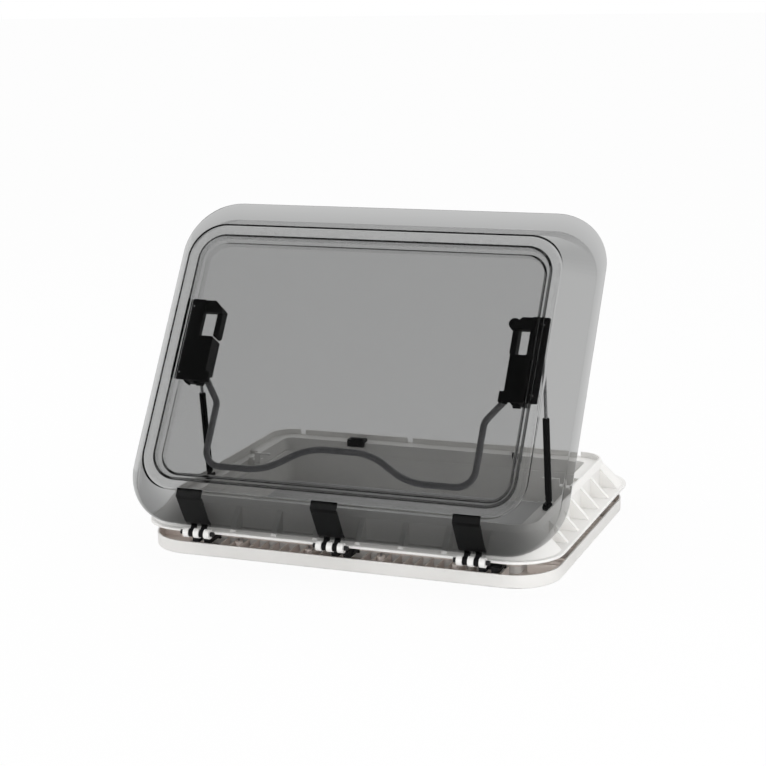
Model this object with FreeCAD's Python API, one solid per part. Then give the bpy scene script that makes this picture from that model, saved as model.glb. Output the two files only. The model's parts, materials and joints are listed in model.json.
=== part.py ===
import FreeCAD, Part
import math
import os

# Roof window for a caravan: hinged double-glazed lid on a moulded frame, with a bow handle and gas struts.
# Millimetres, +Z up, X along the hinge line, hinge side at -Y.
# The origin is the centre of the ceiling frame's underside.

# Driving sizes of the outer frame: the clear light opening, and what is added round it
light_half_x = 319.0
light_half_y = 219.0
light_radius = 16.0
neck_wall = 3.5
neck_bottom_z = 18.0
ledge_width = 28.0
lip_wall = 3.2
lip_height = 10.6
shoulder_out = 5.0
shoulder_drop = 12.0
slope_run = 36.0
flange_run = 6.5
frame_shell = 3.0
flange_bottom_z = 47.5
flange_thick = 5.0
flange_edge_round = 2.0
rim_top_z = 102.6
rim_radius = 45.0
foot_radius = 78.0
flange_radius = 84.0
pocket_pitch_side = 71.0
pocket_pitch_front = 81.0
pocket_rib = 10.0
pocket_shift_side = 13.5
pocket_least = 25.0
notch_inset = 24.0
notch_half = 6.0

# Driving sizes of the ceiling frame
ceiling_margin_x = 71.0
ceiling_margin_y = 68.0
ceiling_radius = 82.0
ceiling_height = 24.2
ceiling_wall = 3.0
ceiling_floor = 3.0
ceiling_edge_round = 2.2
collar_gap = 1.5
collar_wall = 3.0
collar_top_z = 66.0
rib_pitch = 20.0
rib_thick = 2.0
rib_top_z = 20.0
rib_neck_gap = 4.0
boss_radius = 7.0
boss_out = 26.0

# Driving sizes of the hinge
hinge_out = 15.3
hinge_z = 52.0
hinge_inset = 58.0
open_angle = 57.0
lug_count = 3
lug_width = 10.7
lug_pitch = 20.6
lug_radius = 9.0
pin_radius = 3.0
pin_fit = 0.05
pin_head_radius = 4.3
pin_head_width = 6.5
pin_end_play = 0.2
finger_gap = 0.3
finger_radius = 7.5
arm_width = 49.0
arm_thick = 3.0

# Driving sizes of the lid, measured along it from the hinge axis (v) and outward from it (w)
lid_shift = 2.0
weld_over_rim_x = 8.8
weld_over_rim_v = 6.8
weld_radius = 66.0
pane_top_w = 84.0
pane_thick = 3.5
inner_thick = 3.0
pane_bond = 0.1
rim_w = 2.5
lip_edge = 2.6
bend_w = 10.0
wall_run = 31.0
shoulder_run = 14.0
side_lip_run = 13.0
far_lip_run = 37.0
step_one_run = 21.0
step_two_run = 12.0
step_height = 9.0
inner_floor_w = 58.0
seal_width = 4.0
seal_inset = 1.6
seal_squeeze = 0.4

# Driving sizes of the latches and of the bow
housing_out = 9.0
housing_width = 42.0
latch_plate_out = 20.0
latch_low_shift = 44.0
latch_length = 159.0
latch_plate = 3.0
housing_below = 2.0
housing_length = 89.5
housing_depth = 33.0
housing_wall = 3.0
housing_round = 4.0
housing_heel = 12.0
latch_ear = 8.0
hook_reach = 5.0
hook_leg_width = 11.0
hook_tip_gap = 1.5
hook_leg_depth = 18.0
hook_bar_width = 23.0
hook_shank_width = 7.0
hook_shank_inset = 3.5
hook_thick = 12.0
hook_play = 0.4
hook_bar_depth = 5.0
knob_radius = 10.5
knob_length = 13.0
bow_radius = 6.0
bow_pivot_up = 11.0
bow_pivot_w = 43.0
bow_depth = 166.5
bow_shoulder = 33.5
bow_bend_radius = 10.0
bow_shoulder_radius = 25.0
bow_corner_radius = 32.0
bow_rise_radius = 115.0
bow_travel = 60.0
gear_teeth = 12
gear_pitch_radius = 10.0
gear_addendum = 1.2
gear_dedendum = 1.6
gear_backlash = 0.9
gear_width = 14.0
gear_hub_side = 3.0
gear_inset = 9.0

# Driving sizes of the gas struts
strut_out = 17.0
strut_foot_inset = 115.0
strut_foot_z = 96.0
strut_top_down = 36.0
strut_top_w = 47.0
strut_rod_out = 17.0
strut_radius = 6.2
strut_bore = 5.0
rod_radius = 3.0
eye_radius = 6.0
eye_width = 9.0
stud_radius = 3.5
side_clearance = 0.4
bracket_wall = 3.0
strut_recess_depth = 6.0
recess_room = 18.0

# Fasteners and clamps
screw_radius = 2.0
screw_hole_play = 0.1
screw_head_radius = 4.0
screw_length = 26.0
clamp_beyond_hinge = 15.5
clamp_side_inset = 85.0
clamp_width = 36.0
clamp_reach = 46.0
clamp_bottom_z = 15.0
clamp_height = 22.0
clamp_plate = 4.0
clamp_rib = 3.0

# Worked out from the sizes above
rim_half_x = light_half_x + ledge_width + lip_wall
rim_half_y = light_half_y + ledge_width + lip_wall
shoulder_half_x = rim_half_x + shoulder_out
shoulder_half_y = rim_half_y + shoulder_out
foot_half_x = shoulder_half_x + slope_run
foot_half_y = shoulder_half_y + slope_run
flange_half_x = foot_half_x + flange_run
flange_half_y = foot_half_y + flange_run
flange_top_z = flange_bottom_z + flange_thick
shoulder_z = rim_top_z - shoulder_drop
ledge_z = rim_top_z - lip_height
neck_half_x = light_half_x + neck_wall
neck_half_y = light_half_y + neck_wall
collar_half_x = light_half_x - collar_gap
collar_half_y = light_half_y - collar_gap
ceiling_half_x = light_half_x + ceiling_margin_x
ceiling_half_y = light_half_y + ceiling_margin_y
hinge_y = -flange_half_y - hinge_out
hinge_spacing = light_half_x - hinge_inset
lid_centre_v = lid_shift - hinge_y
weld_half_x = rim_half_x + weld_over_rim_x
weld_half_v = rim_half_y + weld_over_rim_v
lid_near_v = lid_centre_v - weld_half_v - shoulder_run - wall_run
housing_outer_x = light_half_x + housing_out
latch_inner_x = housing_outer_x - housing_width
latch_outer_x = housing_outer_x + latch_plate_out
latch_low_v = lid_centre_v - latch_low_shift
latch_high_v = latch_low_v + latch_length
latch_face_w = inner_floor_w - latch_plate
housing_low_v = latch_low_v - housing_below
housing_high_v = housing_low_v + housing_length
housing_floor_w = latch_face_w - housing_depth
hook_leg_inner_x = latch_inner_x - hook_reach
hook_leg_tip_v = housing_high_v + hook_tip_gap
hook_bar_v = latch_high_v - hook_bar_width
hook_shank_high_x = housing_outer_x - hook_shank_inset
hook_shank_low_x = hook_shank_high_x - hook_shank_width
hook_travel = gear_pitch_radius * math.radians(bow_travel)
rack_low_x = latch_inner_x + housing_wall + gear_inset
bow_pivot_v = latch_low_v + bow_pivot_up
strut_x = light_half_x + strut_out
strut_foot_y = strut_foot_inset - light_half_y
strut_top_v = latch_high_v - strut_top_down
strut_bracket_x = strut_x - eye_width / 2 - side_clearance - bracket_wall
strut_recess_low_y = strut_foot_y - recess_room
strut_recess_high_y = hinge_y + strut_top_v + recess_room
latch_recess_low_y = hinge_y + housing_low_v - housing_round
latch_recess_high_y = hinge_y + housing_high_v + housing_round + 1.0
latch_recess_z = hinge_z + housing_floor_w - housing_wall
recess_split_x = housing_outer_x + 1.2
recess_far_x = light_half_x + ledge_width - 1.0
keeper_low_y = hinge_y + housing_high_v + 1.0
keeper_depth = 5.0
keeper_lip_z = hinge_z + latch_face_w - 6.5
keeper_arm_z = hinge_z + latch_face_w - 18.0
clamp_spacing = hinge_spacing + clamp_beyond_hinge
clamp_side_y = light_half_y - clamp_side_inset

ORIGIN = FreeCAD.Vector(0, 0, 0)
X_AXIS = FreeCAD.Vector(1, 0, 0)
Y_AXIS = FreeCAD.Vector(0, 1, 0)
Z_AXIS = FreeCAD.Vector(0, 0, 1)
SIDES = (("left", -1), ("right", 1))


def rounded_rect(half_x, low_y, high_y, radius, z):
    """A closed wire: four straight sides and four quarter arcs, always in the same order."""
    wire_edges = []
    corners = ((half_x, high_y, 0), (-half_x, high_y, 90), (-half_x, low_y, 180), (half_x, low_y, 270))
    ends = []
    for corner_x, corner_y, start in corners:
        centre_x = corner_x - math.copysign(radius, corner_x)
        centre_y = corner_y - (radius if corner_y == high_y else -radius)
        points = []
        for angle in (start, start + 45, start + 90):
            turn = math.radians(angle)
            points.append(FreeCAD.Vector(centre_x + radius * math.cos(turn),
                                         centre_y + radius * math.sin(turn), z))
        ends.append(points)
    for index, points in enumerate(ends):
        following = ends[(index + 1) % 4]
        wire_edges.append(Part.Arc(points[0], points[1], points[2]).toShape())
        wire_edges.append(Part.LineSegment(points[2], following[0]).toShape())
    return Part.Wire(wire_edges)


def slab(half_x, low_y, high_y, radius, low_z, high_z):
    """A rounded rectangle stood up from low_z to high_z."""
    face = Part.Face(rounded_rect(half_x, low_y, high_y, radius, low_z))
    return face.extrude(FreeCAD.Vector(0, 0, high_z - low_z))


def centred_slab(half_x, half_y, radius, low_z, high_z):
    return slab(half_x, -half_y, half_y, radius, low_z, high_z)


def loft(sections):
    """A solid through rounded rectangles, each given as half x, low y, high y, corner radius and height."""
    wires = [rounded_rect(*section) for section in sections]
    return Part.makeLoft(wires, True, True)


def box(low_x, high_x, low_y, high_y, low_z, high_z):
    corner = FreeCAD.Vector(min(low_x, high_x), low_y, low_z)
    return Part.makeBox(abs(high_x - low_x), high_y - low_y, high_z - low_z, corner)


def rod(radius, start, direction, length):
    return Part.makeCylinder(radius, length, start, direction)


def prism_x(points, low_x, high_x):
    """A solid of constant section along X, from (y, z) points."""
    low = min(low_x, high_x)
    corners = [FreeCAD.Vector(low, y, z) for y, z in points]
    face = Part.Face(Part.makePolygon(corners + corners[:1]))
    return face.extrude(FreeCAD.Vector(abs(high_x - low_x), 0, 0))


def fused(shapes):
    """One solid out of several that touch or overlap."""
    result = shapes[0]
    if len(shapes) > 1:
        result = shapes[0].multiFuse(shapes[1:])
    return result.removeSplitter()


def to_lid(shape):
    """Move a shape drawn along the closed lid to the open lid's place."""
    placed = shape.copy()
    placed.rotate(ORIGIN, X_AXIS, open_angle)
    placed.translate(FreeCAD.Vector(0, hinge_y, hinge_z))
    return placed


def mirrored(shape):
    return shape.mirror(ORIGIN, X_AXIS)


def save(name, shapes):
    """Write one node: a single solid, or a group of separate solids."""
    solids = []
    for shape in shapes:
        solids.extend(shape.Solids)
    target = solids[0] if len(solids) == 1 else Part.makeCompound(solids)
    target.exportStep("parts/" + name + ".step")
    print(name, len(solids), round(sum(solid.Volume for solid in solids)), target.isValid())


def side_pockets():
    """Where the pockets start and end along the long side walls."""
    straight = shoulder_half_y - rim_radius - 3.0
    high = (pocket_pitch_side * 5 - pocket_rib) / 2 + pocket_shift_side
    spans = []
    while high > -straight + pocket_least:
        spans.append((max(high - pocket_pitch_side + pocket_rib, -straight), high))
        high -= pocket_pitch_side
    return spans


def front_pockets():
    """Where the pockets start and end along the front and back walls."""
    straight = shoulder_half_x - rim_radius - 3.0
    count = int((2 * straight + pocket_rib) // pocket_pitch_front)
    start = -(count * pocket_pitch_front - pocket_rib) / 2
    return [(start + index * pocket_pitch_front, start + (index + 1) * pocket_pitch_front - pocket_rib)
            for index in range(count)]


def pocket_blocks(grow):
    """The pockets that leave upright gussets in the sloping face; grow adds the wall behind them."""
    blocks = []
    beyond = 60.0
    top = rim_top_z + 5.0
    floor = flange_top_z - grow
    for low, high in side_pockets():
        for sign in (-1, 1):
            start = sign * (shoulder_half_x - grow)
            blocks.append(box(start, start + sign * beyond, low - grow, high + grow, floor, top))
    for low, high in front_pockets():
        for sign in (-1, 1):
            near = shoulder_half_y - grow
            low_y, high_y = sorted((sign * near, sign * (near + beyond)))
            blocks.append(box(low - grow, high + grow, low_y, high_y, floor, top))
    return blocks


def ledge_recesses(grow):
    """Hollows in the side ledges for the folded strut and for the latch housing."""
    blocks = []
    top = rim_top_z - 1.0 if grow else rim_top_z
    for side_name, sign in SIDES:
        blocks.append(box(sign * (strut_bracket_x - grow), sign * (recess_far_x + grow),
                          strut_recess_low_y - grow, strut_recess_high_y + grow,
                          ledge_z - strut_recess_depth - grow, top))
        blocks.append(box(sign * (light_half_x - 2.0), sign * (recess_split_x + grow),
                          latch_recess_low_y - grow, latch_recess_high_y + grow,
                          latch_recess_z - grow, top))
    return blocks


def hinge_centres():
    return [-hinge_spacing, 0.0, hinge_spacing]


def lug_centres():
    """Centres of the lugs of one hinge, counted from the hinge's middle."""
    return [(index - (lug_count - 1) / 2) * lug_pitch for index in range(lug_count)]


def finger_centres():
    lugs = lug_centres()
    return [(lugs[index] + lugs[index + 1]) / 2 for index in range(lug_count - 1)]


def outer_frame():
    """Roof flange, pocketed slope, lip and ledge, inner wall and the hinge lugs."""
    slope = loft([
        (foot_half_x, -foot_half_y, foot_half_y, foot_radius, flange_top_z - 1.0),
        (shoulder_half_x, -shoulder_half_y, shoulder_half_y, rim_radius + 3.0, shoulder_z),
        (rim_half_x, -rim_half_y, rim_half_y, rim_radius, rim_top_z)])
    flange = centred_slab(flange_half_x, flange_half_y, flange_radius, flange_bottom_z, flange_top_z)
    edge_round = [edge for edge in flange.Edges
                  if abs(edge.BoundBox.ZMin - flange_top_z) < 0.01 and abs(edge.BoundBox.ZMax - flange_top_z) < 0.01]
    flange = flange.makeFillet(flange_edge_round, edge_round)
    body = fused([slope, flange])
    body = body.cut(pocket_blocks(0.0))
    hollow = loft([
        (foot_half_x - frame_shell, -foot_half_y + frame_shell, foot_half_y - frame_shell,
         foot_radius - frame_shell, flange_bottom_z),
        (shoulder_half_x - frame_shell, -shoulder_half_y + frame_shell, shoulder_half_y - frame_shell,
         rim_radius, ledge_z - frame_shell)])
    hollow = hollow.cut(centred_slab(neck_half_x, neck_half_y, light_radius + neck_wall, 0.0, rim_top_z))
    hollow = hollow.cut(pocket_blocks(frame_shell))
    hollow = hollow.cut(ledge_recesses(frame_shell))
    body = body.cut(hollow)
    ledge_cut = centred_slab(light_half_x + ledge_width, light_half_y + ledge_width,
                             rim_radius - lip_wall, ledge_z, rim_top_z + 1.0)
    opening = centred_slab(light_half_x, light_half_y, light_radius, 0.0, rim_top_z + 1.0)
    body = body.cut([ledge_cut, opening])
    body = body.cut(ledge_recesses(0.0))
    notches = []
    for notch_x in (notch_inset - light_half_x, notch_inset - pocket_pitch_front, light_half_x - notch_inset):
        notches.append(box(notch_x - notch_half, notch_x + notch_half, light_half_y + ledge_width - 1.0,
                           rim_half_y + 8.0,
                           ledge_z + 1.0, rim_top_z + 1.0))
    for centre in hinge_centres():
        for finger in finger_centres():
            half = lug_pitch / 2 - lug_width / 2
            notches.append(box(centre + finger - half, centre + finger + half, -flange_half_y - 1.0,
                               -flange_half_y + 11.0, flange_bottom_z - 1.0, flange_top_z + 0.5))
    body = body.cut(notches)
    lugs = []
    holes = []
    for centre in hinge_centres():
        for offset in lug_centres():
            start = FreeCAD.Vector(centre + offset - lug_width / 2, hinge_y, hinge_z)
            knuckle = rod(lug_radius, start, X_AXIS, lug_width)
            web = box(centre + offset - lug_width / 2, centre + offset + lug_width / 2,
                      hinge_y, -flange_half_y + 1.5, flange_bottom_z, flange_top_z)
            lugs.extend([knuckle, web])
            holes.append(rod(pin_radius + pin_fit, start - FreeCAD.Vector(1, 0, 0), X_AXIS, lug_width + 2.0))
    body = fused([body] + lugs)
    return body.cut(holes)


def walls_and_corners(outside, opening):
    """A ring in four straight walls and four corners, so that each collides as the plain piece it is."""
    ring = outside.cut(opening)
    bounds_x = (-neck_half_x, light_radius - light_half_x, light_half_x - light_radius, neck_half_x)
    bounds_y = (-neck_half_y, light_radius - light_half_y, light_half_y - light_radius, neck_half_y)
    pieces = []
    for low_x, high_x in zip(bounds_x, bounds_x[1:]):
        for low_y, high_y in zip(bounds_y, bounds_y[1:]):
            pieces.extend(ring.common(box(low_x, high_x, low_y, high_y, 0.0, rim_top_z)).Solids)
    return pieces


def roof_neck():
    """The outer frame's neck, from the flange down through the roof."""
    outside = centred_slab(neck_half_x, neck_half_y, light_radius + neck_wall, neck_bottom_z, flange_bottom_z)
    opening = centred_slab(light_half_x, light_half_y, light_radius, 0.0, rim_top_z)
    return walls_and_corners(outside, opening)


def collar_block(wall, low_z, high_z):
    """The block that fills the collar, or its opening when wall is taken off all round."""
    return centred_slab(collar_half_x - wall, collar_half_y - wall, light_radius - collar_gap - wall, low_z, high_z)


def ceiling_collar():
    """The ceiling frame's collar, which slides up inside the neck."""
    return walls_and_corners(collar_block(0.0, 0.0, collar_top_z), collar_block(collar_wall, 0.0, collar_top_z))


def clamp_places():
    """Middle of each clamp on the neck and the way it points."""
    places = []
    for index in (-1, 0, 1):
        x = index * clamp_spacing
        places.append((x, -neck_half_y, -90.0))
        places.append((x, neck_half_y, 90.0))
    for y in (-clamp_side_y, clamp_side_y):
        places.append((neck_half_x, y, 0.0))
        places.append((-neck_half_x, y, 180.0))
    return places


def clamp():
    """One roof clamp, drawn pointing along +X with its plate on the plane x = 0."""
    half = clamp_width / 2
    plate = box(0.0, clamp_plate, -half, half, clamp_bottom_z, clamp_bottom_z + clamp_height)
    arm = box(0.0, clamp_reach, -half, half, clamp_bottom_z + 4.0, clamp_bottom_z + 9.0)
    arm = arm.cut(box(clamp_reach - 16.0, clamp_reach + 1.0, -5.0, 5.0, 0.0, 60.0))
    gussets = []
    for y in (-half, half - clamp_rib):
        corners = [FreeCAD.Vector(0, y, clamp_bottom_z + 6.0),
                   FreeCAD.Vector(clamp_reach - 12.0, y, clamp_bottom_z + 6.0),
                   FreeCAD.Vector(0, y, clamp_bottom_z + clamp_height)]
        face = Part.Face(Part.makePolygon(corners + corners[:1]))
        gussets.append(face.extrude(FreeCAD.Vector(0, clamp_rib, 0)))
    prongs = []
    for y in (-half, 5.0):
        prongs.append(box(clamp_reach - 6.0, clamp_reach, y, y + half - 5.0, clamp_bottom_z + 4.0,
                          clamp_bottom_z + 14.0))
    body = fused([plate, arm] + gussets + prongs)
    hole = rod(screw_radius + screw_hole_play, FreeCAD.Vector(-1, 0, clamp_bottom_z + 14.0), X_AXIS,
               clamp_plate + 2.0)
    return body.cut(hole)


def clamp_screw():
    """The screw that holds a clamp to the neck, drawn in the clamp's own place."""
    height = clamp_bottom_z + 14.0
    shank = rod(screw_radius, FreeCAD.Vector(0.05, 0, height), X_AXIS, clamp_plate)
    head = rod(screw_head_radius, FreeCAD.Vector(clamp_plate + 0.05, 0, height), X_AXIS, 2.4)
    return fused([shank, head])


def around(shape):
    """Copies of one clamp or screw at every clamp place."""
    copies = []
    for x, y, turn in clamp_places():
        copy = shape.copy()
        copy.rotate(ORIGIN, Z_AXIS, turn)
        copy.translate(FreeCAD.Vector(x, y, 0))
        copies.append(copy)
    return copies


def near_clamp(x, y):
    """Whether a rib of the ceiling frame would run into a clamp."""
    for clamp_x, clamp_y, turn in clamp_places():
        if turn in (90.0, -90.0) and y * clamp_y > 0 and abs(x - clamp_x) < clamp_width / 2 + clamp_rib:
            return True
        if turn in (0.0, 180.0) and x * clamp_x > 0 and abs(y - clamp_y) < clamp_width / 2 + clamp_rib:
            return True
    return False


def screw_boss_places():
    """Where the ceiling frame is screwed up into the outer frame."""
    places = []
    for step in (-10.5, -3.5, 3.5, 10.5):
        x = step * rib_pitch
        places.append((x, -neck_half_y - boss_out))
        places.append((x, neck_half_y + boss_out))
    for y in (-2.5 * rib_pitch, 2.5 * rib_pitch):
        places.append((-neck_half_x - boss_out, y))
        places.append((neck_half_x + boss_out, y))
    return places


def ceiling_frame():
    """Inner frame: shallow tray with ribs and screw bosses round the collar."""
    outside = centred_slab(ceiling_half_x, ceiling_half_y, ceiling_radius, 0.0, ceiling_height)
    bottom_edges = [edge for edge in outside.Edges if edge.BoundBox.ZMax < 0.01]
    outside = outside.makeFillet(ceiling_edge_round, bottom_edges)
    hollow = centred_slab(ceiling_half_x - ceiling_wall, ceiling_half_y - ceiling_wall,
                          ceiling_radius - ceiling_wall, ceiling_floor, ceiling_height + 1.0)
    tray = outside.cut(hollow)
    pieces = [tray]
    rib_end_x = neck_half_x + rib_neck_gap
    rib_end_y = neck_half_y + rib_neck_gap
    count_x = int((ceiling_half_x - ceiling_radius) // rib_pitch)
    for index in range(-count_x, count_x + 1):
        x = index * rib_pitch
        for sign in (-1, 1):
            if near_clamp(x, sign * neck_half_y) and abs(x) < neck_half_x:
                continue
            low_y, high_y = sorted((sign * rib_end_y, sign * (ceiling_half_y - 1.0)))
            pieces.append(box(x - rib_thick / 2, x + rib_thick / 2, low_y, high_y, 1.0, rib_top_z))
    count_y = int((ceiling_half_y - ceiling_radius) // rib_pitch)
    for index in range(-count_y, count_y + 1):
        y = index * rib_pitch
        for sign in (-1, 1):
            if near_clamp(sign * neck_half_x, y):
                continue
            pieces.append(box(sign * rib_end_x, sign * (ceiling_half_x - 1.0),
                              y - rib_thick / 2, y + rib_thick / 2, 1.0, rib_top_z))
    holes = []
    for x, y in screw_boss_places():
        pieces.append(rod(boss_radius, FreeCAD.Vector(x, y, 1.0), Z_AXIS, rib_top_z + 1.0))
        holes.append(rod(screw_radius + screw_hole_play, FreeCAD.Vector(x, y, -1.0), Z_AXIS, rib_top_z + 5.0))
        holes.append(rod(screw_head_radius + 0.2, FreeCAD.Vector(x, y, -1.0), Z_AXIS, 3.4))
    body = fused(pieces)
    return body.cut([collar_block(0.0, -1.0, collar_top_z)] + holes)


def frame_screws():
    """Screws seated in the ceiling frame's bosses."""
    screws = []
    for x, y in screw_boss_places():
        shank = rod(screw_radius, FreeCAD.Vector(x, y, 1.0), Z_AXIS, screw_length)
        head = rod(screw_head_radius, FreeCAD.Vector(x, y, 0.2), Z_AXIS, 2.2)
        slot = box(x - 3.0, x + 3.0, y - 0.5, y + 0.5, 0.0, 1.2)
        screws.append(fused([shank, head]).cut(slot))
    return screws


def hinge_pins():
    """Headed pins, one through the three lugs of each hinge."""
    pins = []
    reach = lug_centres()[-1] + lug_width / 2 + pin_end_play
    for centre in hinge_centres():
        start = FreeCAD.Vector(centre - reach, hinge_y, hinge_z)
        pieces = [rod(pin_radius, start, X_AXIS, 2 * reach)]
        pieces.append(rod(pin_head_radius, start - FreeCAD.Vector(pin_head_width, 0, 0), X_AXIS,
                          pin_head_width))
        pieces.append(rod(pin_head_radius, start + FreeCAD.Vector(2 * reach, 0, 0), X_AXIS, pin_head_width))
        pins.append(fused(pieces))
    return pins


def hinge_arm(centre):
    """A cranked arm: two fingers on the pin, then a plate up inside the lid's wall to the pane's border."""
    top_w = inner_floor_w + step_height
    low_v = lid_near_v + 6.0
    high_v = lid_near_v + wall_run + 7.0
    section = [(low_v, 2.0), (low_v + 3.0, 2.0), (low_v + 4.5, bend_w), (high_v + 1.0, top_w - arm_thick),
               (high_v + 12.0, top_w - arm_thick), (high_v + 12.0, top_w), (high_v - 1.5,
                                                                            top_w), (low_v + 1.2, bend_w)]
    plate = prism_x(section, centre - arm_width / 2, centre + arm_width / 2)
    pieces = [plate]
    width = lug_pitch - lug_width - 2 * finger_gap
    for offset in finger_centres():
        low = centre + offset - width / 2
        pieces.append(rod(finger_radius, FreeCAD.Vector(low, 0, 0), X_AXIS, width))
        pieces.append(box(low, low + width, 0.0, low_v + 3.0, -4.0, 2.2))
    for share in (0.72, 0.86):
        mid_v = low_v + 4.0 + (high_v - low_v - 4.0) * share
        mid_w = bend_w + (top_w - bend_w) * share
        pieces.append(box(centre - arm_width / 2, centre + arm_width / 2, mid_v, mid_v + 3.0, mid_w - 4.0,
                          mid_w - 1.0))
    body = fused(pieces)
    bore = rod(pin_radius + pin_fit, FreeCAD.Vector(centre - arm_width, 0, 0), X_AXIS, 2 * arm_width)
    return to_lid(body.cut(bore))


def lid_sections(inset):
    """Sections of the lid's outside, or of its inside when inset is the wall."""
    low = lid_centre_v - weld_half_v
    high = lid_centre_v + weld_half_v
    top_w = pane_top_w - inset
    flat = 4.0
    knee = shoulder_run
    sections = []
    lip_x = weld_half_x + knee + wall_run + side_lip_run
    lip_low = low - knee - wall_run
    lip_high = high + knee + wall_run + far_lip_run
    if inset:
        sections.append((lip_x - 1.0, lip_low + inset, lip_high - 1.0, weld_radius + 34.0, rim_w))
        sections.append((weld_half_x + knee + wall_run - inset, lip_low + inset + 0.4,
                         high + knee + wall_run - inset, weld_radius + 23.0, bend_w - inset))
    else:
        sections.append((lip_x, lip_low - 1.0, lip_high, weld_radius + 39.0, rim_w))
        sections.append((lip_x, lip_low - 1.0, lip_high, weld_radius + 39.0, rim_w + lip_edge))
        sections.append((weld_half_x + knee + wall_run, lip_low, high + knee + wall_run, weld_radius + 27.0,
                         bend_w))
    sections.append((weld_half_x + knee - inset, low - knee + inset, high + knee - inset,
                     weld_radius + 12.0 - inset, top_w - 10.0))
    sections.append((weld_half_x + knee - 3.5 - inset * 0.8, low - knee + 3.5 + inset * 0.8,
                     high + knee - 3.5 - inset * 0.8, weld_radius + 9.0 - inset, top_w - 3.5))
    sections.append((weld_half_x + flat - inset * 0.4, low - flat + inset * 0.4, high + flat - inset * 0.4,
                     weld_radius + 3.0, top_w))
    return sections


def lid_outer_pane():
    """The outer pane: a deep moulded cap with flared walls and a drip edge."""
    return loft(lid_sections(0.0)).cut(loft(lid_sections(pane_thick)))


def inner_sections(lift):
    """Sections of the inner pane's underside, moved outward by lift."""
    border_w = pane_top_w - pane_thick - pane_bond
    steps = ((step_one_run + step_two_run, inner_floor_w, weld_radius - 28.0),
             (step_one_run, inner_floor_w + step_height, weld_radius - 20.0),
             (-1.0, border_w - inner_thick, weld_radius - 1.0),
             (-2.2, border_w + (inner_thick if lift else 0.0), weld_radius + 2.2))
    sections = []
    for inset, height, radius in steps:
        sections.append((weld_half_x - inset, lid_centre_v - weld_half_v + inset,
                         lid_centre_v + weld_half_v - inset,
                         radius, height + lift))
    return sections


def lid_inner_pane():
    """The inner pane: a shallow tray with a stepped border, bonded under the outer pane."""
    return loft(inner_sections(0.0)).cut(loft(inner_sections(inner_thick)))


def lid_seal():
    """The rubber blade that hangs from the inner pane's border onto the frame's lip."""
    middle_x = rim_half_x - lip_wall / 2 + seal_inset
    middle_v = middle_x - (weld_half_x - weld_half_v)
    low_w = rim_top_z - hinge_z + seal_squeeze
    high_w = pane_top_w - pane_thick - inner_thick - 1.5
    rings = []
    for grow in (seal_width / 2, -seal_width / 2):
        rings.append(slab(middle_x + grow, lid_centre_v - middle_v - grow, lid_centre_v + middle_v + grow,
                          weld_radius - 10.0 + grow, low_w, high_w))
    return rings[0].cut(rings[1]).cut(loft(inner_sections(0.0)))


def tooth_wedge(inner, outer, half_inner, half_outer, low_x, width):
    """One tooth of the pinion, pointing along -w."""
    points = [(-half_inner, -inner), (half_inner, -inner), (half_outer, -outer), (-half_outer, -outer)]
    return prism_x(points, low_x, low_x + width)


def bow_drum():
    """The pinion on the right end of the bow, drawn about the bow's axis at v = 0, w = 0."""
    pitch = 2 * math.pi * gear_pitch_radius / gear_teeth
    root = gear_pitch_radius - gear_dedendum
    outer = gear_pitch_radius + gear_addendum
    pieces = [rod(root, FreeCAD.Vector(rack_low_x, 0, 0), X_AXIS, gear_width)]
    half_pitch = (pitch / 2 - gear_backlash) / 2
    for index in range(gear_teeth):
        tooth = tooth_wedge(root - 1.0, outer, half_pitch + 0.75, half_pitch - 0.5, rack_low_x, gear_width)
        tooth.rotate(ORIGIN, X_AXIS, 360.0 / gear_teeth * (index + 0.5))
        pieces.append(tooth)
    pieces.append(rod(root - 1.0, FreeCAD.Vector(rack_low_x - gear_hub_side, 0, 0), X_AXIS,
                      gear_width + 2 * gear_hub_side))
    body = fused(pieces)
    return body.cut(rod(bow_radius + 0.05, FreeCAD.Vector(rack_low_x - 9.0, 0, 0), X_AXIS, gear_width + 20.0))


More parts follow.
